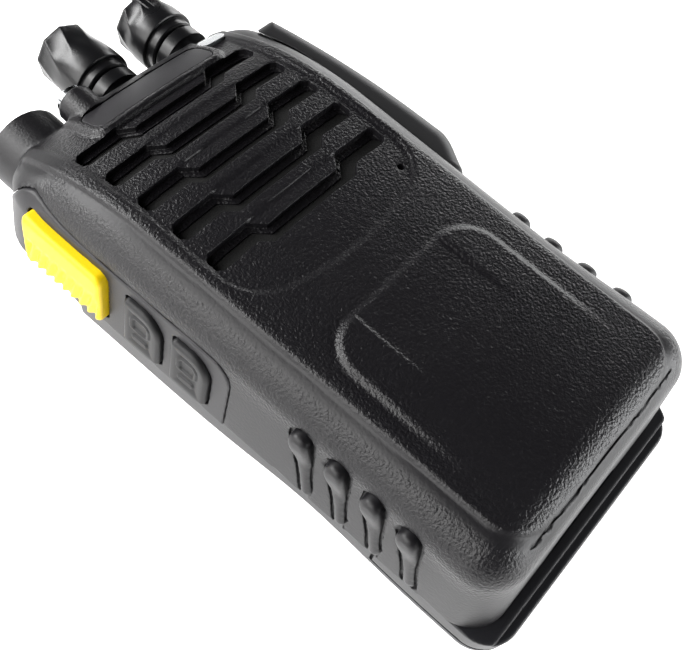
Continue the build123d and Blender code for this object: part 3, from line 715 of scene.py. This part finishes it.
def pttField(x, y, z):
    size = buttons["ptt_button"]
    skin = plainForm(x, y, z)
    # ribs over the half next to the seam
    fromZ, fromY = pttForm["ribFrom"]
    phase = (y + pttForm["ribLean"] * (z - fromZ) - fromY) * 2 * math.pi / pttForm["ribPitch"]
    rib = 0.5 + 0.5 * np.cos(phase)
    edge = smooth(*pttForm["lowEnd"], y) * (1 - smooth(*pttForm["highEnd"], y))
    height = size["proud"] - pttForm["ribDepth"] * rib * (1 - smooth(*pttForm["ribFade"], z)) * edge
    body = roundMax(buttonOutline(y, z, size, 0.0), skin - height, pttForm["edge"])
    return np.maximum(np.maximum(body, -window["buttonDepth"] - skin), x - window["toX"])


pttButton = fieldPiece("pttButton", pttField, (-33, 76.5, 9.8), (-18, 97.5, 23.5), 0.22, yellowAbs)
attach(pttButton, "ptt")
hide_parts("ptt_button")

# each key carries a raised ring over a raised bar in a shallow dish
keyForm = {"ringY": (-1.5, 1.9), "ringZ": (16.2, 19.2), "ringCorner": 0.8, "ringHalf": 0.32,
           "barY": (-1.4, 1.8), "barZ": (13.4, 14.6), "barCorner": 0.5,
           "markHigh": 0.28, "markSlope": (-0.12, 0.12), "dish": 0.35, "dishSlope": (-2.6, -1.0),
           "edge": 0.7, "margin": 1.2}
for key, body in (("side_key_upper", "key_upper"), ("side_key_lower", "key_lower")):
    size = buttons[key]
    midY = sum(size["y"]) / 2

    def keyField(x, y, z, size=size, midY=midY):
        skin = plainForm(x, y, z)
        ringY = tuple(midY + side for side in keyForm["ringY"])
        barY = tuple(midY + side for side in keyForm["barY"])
        ring = np.abs(roundedBox(y, z, ringY, keyForm["ringZ"], keyForm["ringCorner"])) - keyForm["ringHalf"]
        bar = roundedBox(y, z, barY, keyForm["barZ"], keyForm["barCorner"])
        mark = keyForm["markHigh"] * (1 - ramp(*keyForm["markSlope"], np.minimum(ring, bar)))
        outline = buttonOutline(y, z, size, 0.0)
        dish = keyForm["dish"] * (1 - smooth(*keyForm["dishSlope"], outline))
        solid = roundMax(outline, skin - size["proud"] + dish - mark, keyForm["edge"])
        return np.maximum(np.maximum(solid, -window["buttonDepth"] - skin), x - window["toX"])

    lowY, highY = size["y"][0] - keyForm["margin"], size["y"][1] + keyForm["margin"]
    sideKey = fieldPiece("sideKey" + key[9:].capitalize(), keyField, (-32, lowY, 9.8), (-18, highY, 23.5),
                         0.18, mattRubber)
    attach(sideKey, body)
    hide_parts(key)
print("bezel and buttons")


# ---------- jack cover ----------
cover = {"y": (52.2, 99.5), "z": (9.8, 25.2), "hinge": 1.1, "hingeX": 30.62, "gap": 0.35, "fromX": 15.0,
         "outX": 32.9, "full": 66.0, "fall": 2.0, "fallOver": 26.0,
         "lowFall": 4.5, "lowFade": (-1.5, 9.0), "edge": 1.6, "brow": 3.6,
         "endRelief": 0.6, "hollowY": (75.5, 12.0), "hollowZ": (17.4, 4.2), "hollowSkin": 1.0,
         "barrelLow": 1.0, "barrelHigh": 5.2, "barrelEdge": 0.3, "blend": 1.2}


def coverField(x, y, z):
    # a soft flap that follows the wall: thickest a third of the way up, thin at the hinge
    lowY, highY = cover["y"]
    lowZ, highZ = cover["z"]
    skin = plainForm(x, y, z)
    outX = cover["outX"] - cover["fall"] * (np.maximum(y - cover["full"], 0) / cover["fallOver"]) ** 2
    fadeIn, fadeOut = cover["lowFade"]
    outX = outX - cover["lowFall"] * (1 - smooth(lowY + fadeIn, lowY + fadeOut, y))
    body = roundMax(x - outX, np.maximum(lowY - y, y - highY), cover["edge"])
    body = roundMax(body, z - highZ, cover["brow"])
    body = roundMax(body, lowZ - z, cover["edge"])
    body = np.maximum(body, np.maximum(cover["gap"] - skin, cover["fromX"] - x))
    body = cutAway(body, np.maximum(x - cover["hingeX"], highY - cover["endRelief"] - y))
    # shallow hollow over the jacks
    (middleY, halfY), (middleZ, halfZ) = cover["hollowY"], cover["hollowZ"]
    hollow = np.maximum(np.abs(y - middleY) - halfY, np.abs(z - middleZ) - halfZ)
    body = cutAway(body, np.maximum(skin - cover["gap"] - cover["hollowSkin"], hollow))
    barrel = np.hypot(x - cover["hingeX"], y - highY) - cover["hinge"]
    ends = np.maximum(lowZ + cover["barrelLow"] - z, z - highZ + cover["barrelHigh"])
    return roundMin(body, roundMax(barrel, ends, cover["barrelEdge"]), cover["blend"])


jackCover = fieldPiece("jackCover", coverField, (22, 50.5, 8.8), (35, 102, 26.5), 0.3, mattRubber)
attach(jackCover, "cover")
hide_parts("accessory_cover")
print("jack cover")


# ---------- battery case ----------
sideGap = 0.2             # the battery and the rear cover stand this far inside the front case's wall
battery = {"top": 86.0, "high": 9.0, "corner": 5.6, "backRound": 4.0, "edge": 0.35,
           "waist": 0.9, "waistY": 36.0, "waistLong": 15.0, "ledge": 1.5, "ledgeDeep": 1.0,
           "groove": 4.9, "grooveHalf": 0.26, "grooveDeep": 0.5, "jointY": 22.8,
           "ribX": 14.0, "ribY": (72.0, 82.0), "ribTop": 76.0, "ribPitch": 2.2, "ribDeep": 0.32,
           "labelX": 17.0, "labelY": (30.0, 68.0), "labelDeep": 0.35, "cutCorner": 2.0,
           "contactX": 7.0, "contactY": 16.0, "contact": 2.25,
           "rim": 3.2, "rimCorner": 2.8, "topWall": 2.2, "floor": 1.6}


def batteryField(x, y, z):
    # slightly waisted where the fingers close round it
    waist = battery["waist"] * np.exp(-((y - battery["waistY"]) / battery["waistLong"]) ** 2)
    side = np.abs(x) - halfWidth(y) + sideGap + waist
    plan = roundMax(side, -y, battery["corner"])
    body = np.maximum(roundMax(plan, -z, battery["backRound"]), y - battery["top"])
    body = roundMax(body, z - battery["high"], battery["edge"])
    # the ledge in front of the case steps down, so it reads as two fine lines
    ledge = np.maximum(y - battery["ledge"], -z + battery["high"] - battery["ledgeDeep"])
    body = roundMax(body, -ledge, battery["edge"])
    # groove round the foot, and the joint that runs up from it
    cut = battery["grooveHalf"]
    groove = np.maximum(np.abs(z - battery["groove"]) - cut, y - battery["jointY"])
    joint = np.maximum(np.abs(y - battery["jointY"]) - cut, battery["groove"] - z)
    body = cutAway(body, np.maximum(np.minimum(groove, joint), -battery["grooveDeep"] - plan))
    # finger ribs across the back and a shallow panel for a label
    wave = 0.5 + 0.5 * np.cos((y - battery["ribTop"]) * 2 * math.pi / battery["ribPitch"])
    ribbed = roundedBox(x, y, (-battery["ribX"], battery["ribX"]), battery["ribY"], battery["cutCorner"])
    body = cutAway(body, np.maximum(ribbed, z - battery["ribDeep"] * wave))
    spanX = (-battery["labelX"], battery["labelX"])
    labelCut = roundedBox(x, y, spanX, battery["labelY"], battery["cutCorner"])
    body = cutAway(body, np.maximum(labelCut, z - battery["labelDeep"]))
    contact = np.hypot(np.abs(x) - battery["contactX"], y - battery["contactY"]) - battery["contact"]
    body = cutAway(body, contact)
    cavity = roundMax(side + battery["rim"], battery["rim"] - y, battery["rimCorner"])
    cavity = np.maximum(cavity, y - battery["top"] + battery["topWall"])
    return cutAway(body, np.maximum(cavity, battery["floor"] - z))


batteryCase = fieldPiece("batteryCase", batteryField, (-31, -1, -0.6), (31, 87, 9.8), 0.3, batteryAbs)
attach(batteryCase, "radio")
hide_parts("battery_shell")
print("battery case")


# ---------- rear cover of the chassis, above the battery ----------
rear = {"low": 86.3, "top": 107.5, "back": 2.5, "high": 9.0, "corner": 9.0, "backRound": 3.2,
        "inset": 2.4, "insetY": (84.0, 102.0),
        "clipX": 12.5, "clipY": 96.0, "clipHole": 1.25, "clipDeep": 7.5, "washer": 3.0, "washerDeep": 0.4,
        "plateZ": (10.6, 12.6), "plateHalf": 23.6, "plateY": (11.6, 100.0), "plateCorner": 5.0,
        "neckY": (87.0, 100.0), "neckZ": (8.0, 11.0)}


def outside(value, span):
    return np.maximum(span[0] - value, value - span[1])


def rearField(x, y, z):
    side = np.abs(x) - halfWidth(y) + sideGap + rear["inset"] * smooth(*rear["insetY"], y)
    plan = roundMax(side, y - rear["top"], rear["corner"])
    body = roundMax(plan, rear["back"] - z, rear["backRound"])
    body = np.maximum(body, np.maximum(rear["low"] - y, z - rear["high"]))
    # the chassis plate inside the case, and the neck that joins it to the cover
    neck = np.maximum(np.abs(x) - rear["plateHalf"], outside(y, rear["neckY"]))
    neck = np.maximum(neck, outside(z, rear["neckZ"]))
    spanX = (-rear["plateHalf"], rear["plateHalf"])
    plate = roundedBox(x, y, spanX, rear["plateY"], rear["plateCorner"])
    plate = np.maximum(plate, outside(z, rear["plateZ"]))
    body = np.minimum(body, np.minimum(neck, plate))
    # two clip screw holes, each in a shallow round seat
    around = np.hypot(np.abs(x) - rear["clipX"], y - rear["clipY"])
    body = cutAway(body, np.maximum(around - rear["clipHole"], z - rear["clipDeep"]))
    return cutAway(body, np.maximum(around - rear["washer"], z - rear["back"] - rear["washerDeep"]))


rearCover = fieldPiece("rearCover", rearField, (-31, 10, 1.6), (31, 109, 13.4), 0.4, batteryAbs)
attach(rearCover, "radio")
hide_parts("rear_chassis")
print("rear cover")


# ---------- knobs ----------
knobs = {
    "channel": {"x": controls["channelX"], "tip": 123.8, "pointer": False},
    "volume": {"x": controls["volumeX"], "tip": 120.8, "pointer": True},
}
knobForm = {"base": 110.6, "baseRadius": 6.0, "tipRadius": 5.65, "bore": 2.0, "boreWall": 4.0,
            "collar": 5.25, "collarTop": 1.9, "edge": 0.3, "skirt": 4.6, "skirtStraight": 0.8,
            "round": 0.9, "dish": 0.3, "dishRadius": (3.5, 3.2),
            "flutes": 9, "fluteDepth": 0.32, "twist": 34.0, "fluteStart": (0.02, 0.3), "fluteRun": 0.45,
            "crescent": 2.2, "turns": 270, "steps": 30, "roundSteps": 6}
pointer = {"halfWidth": 0.75, "rise": (2.5, 5.9), "low": 2.6, "over": 0.5, "edge": 0.35, "margin": 1.6}


def knobProfile(height):
    # from the bore's end round the skirt to the middle of the tip: radius, height, share of the fluted part
    wide, narrow, skirt = knobForm["baseRadius"], knobForm["tipRadius"], knobForm["skirt"]
    collar, shelf, edge = knobForm["collar"], knobForm["collarTop"], knobForm["edge"]
    bore, boreEnd, curve = knobForm["bore"], height - knobForm["boreWall"], knobForm["round"]
    profile = [(0.0, boreEnd, 0), (bore, boreEnd, 0), (bore, 0.0, 0),
               (collar - edge, 0.0, 0), (collar, edge, 0), (collar, shelf, 0), (wide - edge, shelf, 0),
               (wide - 0.05, shelf + 0.15, 0), (wide, shelf + 0.45, 0),
               (wide, skirt * knobForm["skirtStraight"], 0)]
    fluted = height - skirt - curve
    for i in range(1, knobForm["steps"] + 1):
        share = i / knobForm["steps"]
        profile.append((wide + (narrow - wide) * share, skirt + fluted * share, share))
    for i in range(1, knobForm["roundSteps"] + 1):
        angle = math.radians(90 / knobForm["roundSteps"] * i)
        profile.append((narrow - curve * (1 - math.cos(angle)), height - curve * (1 - math.sin(angle)), 1))
    outerDish, innerDish = knobForm["dishRadius"]
    low = height - knobForm["dish"]
    return profile + [(outerDish, height, 0), (innerDish, low, 0), (0.0, low, 0)]


def fluteAt(angle, share):
    # each flute is a crescent that starts further down on one side, with a crisp ridge between flutes
    phase = knobForm["flutes"] * (angle + math.radians(knobForm["twist"]) * share) / (2 * math.pi)
    within = phase - math.floor(phase)
    first, later = knobForm["fluteStart"]
    begin = first + later * within
    across = 1 - abs(2 * within - 1) ** knobForm["crescent"]
    return smooth(begin, begin + knobForm["fluteRun"], share) * across


def knobMesh(size):
    turns = knobForm["turns"]
    profile = knobProfile(size["tip"] - knobForm["base"])
    points, faces = [], []
    for radius, rise, share in profile:
        for k in range(turns):
            angle = 2 * math.pi * k / turns
            r = max(radius - knobForm["fluteDepth"] * fluteAt(angle, share), 0.0)
            points.append((size["x"] + r * math.cos(angle), knobForm["base"] + rise,
                           controls["z"] + r * math.sin(angle)))
    for ring in range(len(profile) - 1):
        for k in range(turns):
            a, b = ring * turns + k, ring * turns + (k + 1) % turns
            faces.append((a, a + turns, b + turns, b))
    return points, faces


def pointerRib(size):
    # straight raised rib from tip to skirt, on the side towards the speaker
    def field(x, y, z):
        low, high = pointer["rise"]
        sides = np.maximum(controls["z"] + low - z, z - controls["z"] - high)
        rib = roundMax(np.abs(x - size["x"]) - pointer["halfWidth"], sides, pointer["edge"])
        ends = np.maximum(knobForm["base"] + pointer["low"] - y, y - size["tip"] - pointer["over"])
        return roundMax(rib, ends, pointer["edge"])

    margin = pointer["margin"]
    low = (size["x"] - margin, 112, 18)
    high = (size["x"] + margin, size["tip"] + margin, 24)
    return fieldMesh(field, low, high, 0.12)


for name, size in knobs.items():
    points, faces = knobMesh(size)
    knob = addMesh(name + "Knob", points, faces, knobAbs, sharpAngle=30.0)
    work = bmesh.new()
    work.from_mesh(knob.data)
    bmesh.ops.remove_doubles(work, verts=work.verts, dist=1e-7)
    bmesh.ops.recalc_face_normals(work, faces=work.faces)
    work.to_mesh(knob.data)
    work.free()
    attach(knob, name + "_control")
    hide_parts(name + "_knob")
    if size["pointer"]:
        points, faces = pointerRib(size)
        rib = addMesh(name + "Pointer", points, faces, knobAbs)
        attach(rib, name + "_control")
print("knobs")

# ---------- finishes of the pieces that keep their CAD shape ----------
finishes = {
    "grille_cloth": dustCloth, "speaker_frame": zincSteel, "speaker_cone": mattRubber,
    "speaker_gasket": mattRubber, "microphone": zincSteel, "mic_boot": mattRubber,
    "main_board": solderMask, "shield_can": zincSteel, "key_switches": castAlloy,
    "channel_switch": castAlloy, "channel_shaft": castAlloy, "volume_switch": castAlloy,
    "volume_shaft": castAlloy, "control_nuts": knobAbs, "antenna_socket": goldBrass,
    "antenna_insulator": whiteAcetal, "antenna_contact": goldBrass, "torch_collar": chromedAbs,
    "torch_led": clearLens, "status_light_pipe": clearLens, "status_led": whiteAcetal,
    "jack_block": mattRubber, "battery_lid": batteryAbs, "battery_cell": zincSteel,
    "battery_board": solderMask, "battery_contacts": goldBrass, "charge_contacts": goldBrass,
    "contact_springs": goldBrass, "battery_latch": batteryAbs, "latch_spring": zincSteel,
    "board_screws": zincSteel, "chassis_screws": zincSteel,
}
for name, material in finishes.items():
    mesh = nodes[name].data
    mesh.materials.clear()
    mesh.materials.append(material)

# white coated card, slightly mottled; its glow keeps it white round the radio
ground = {"size": 4.0, "cells": 8, "below": 0.0002, "mottle": 30.0, "rough": 0.7, "glow": 0.8}
bpy.ops.mesh.primitive_grid_add(x_subdivisions=ground["cells"], y_subdivisions=ground["cells"],
                                size=ground["size"], location=(0, 0, -ground["below"]))
floor = bpy.context.active_object
floor.name = "floor"
floorMaterial, floorTree, floorShader, floorWhere = startMaterial("Card coated white")
mottle = addNode(floorTree, "ShaderNodeTexNoise", {"Scale": ground["mottle"]}, {"Vector": floorWhere})
floorTone = mixNode(floorTree, "#f4f4f4", "#fafafa", mottle.outputs[0])
floorTree.links.new(floorTone.outputs[2], floorShader.inputs["Base Color"])
floorShader.inputs["Roughness"].default_value = ground["rough"]
floorShader.inputs["Emission Color"].default_value = srgb("#ffffff")
floorShader.inputs["Emission Strength"].default_value = ground["glow"]
floor.data.materials.append(floorMaterial)
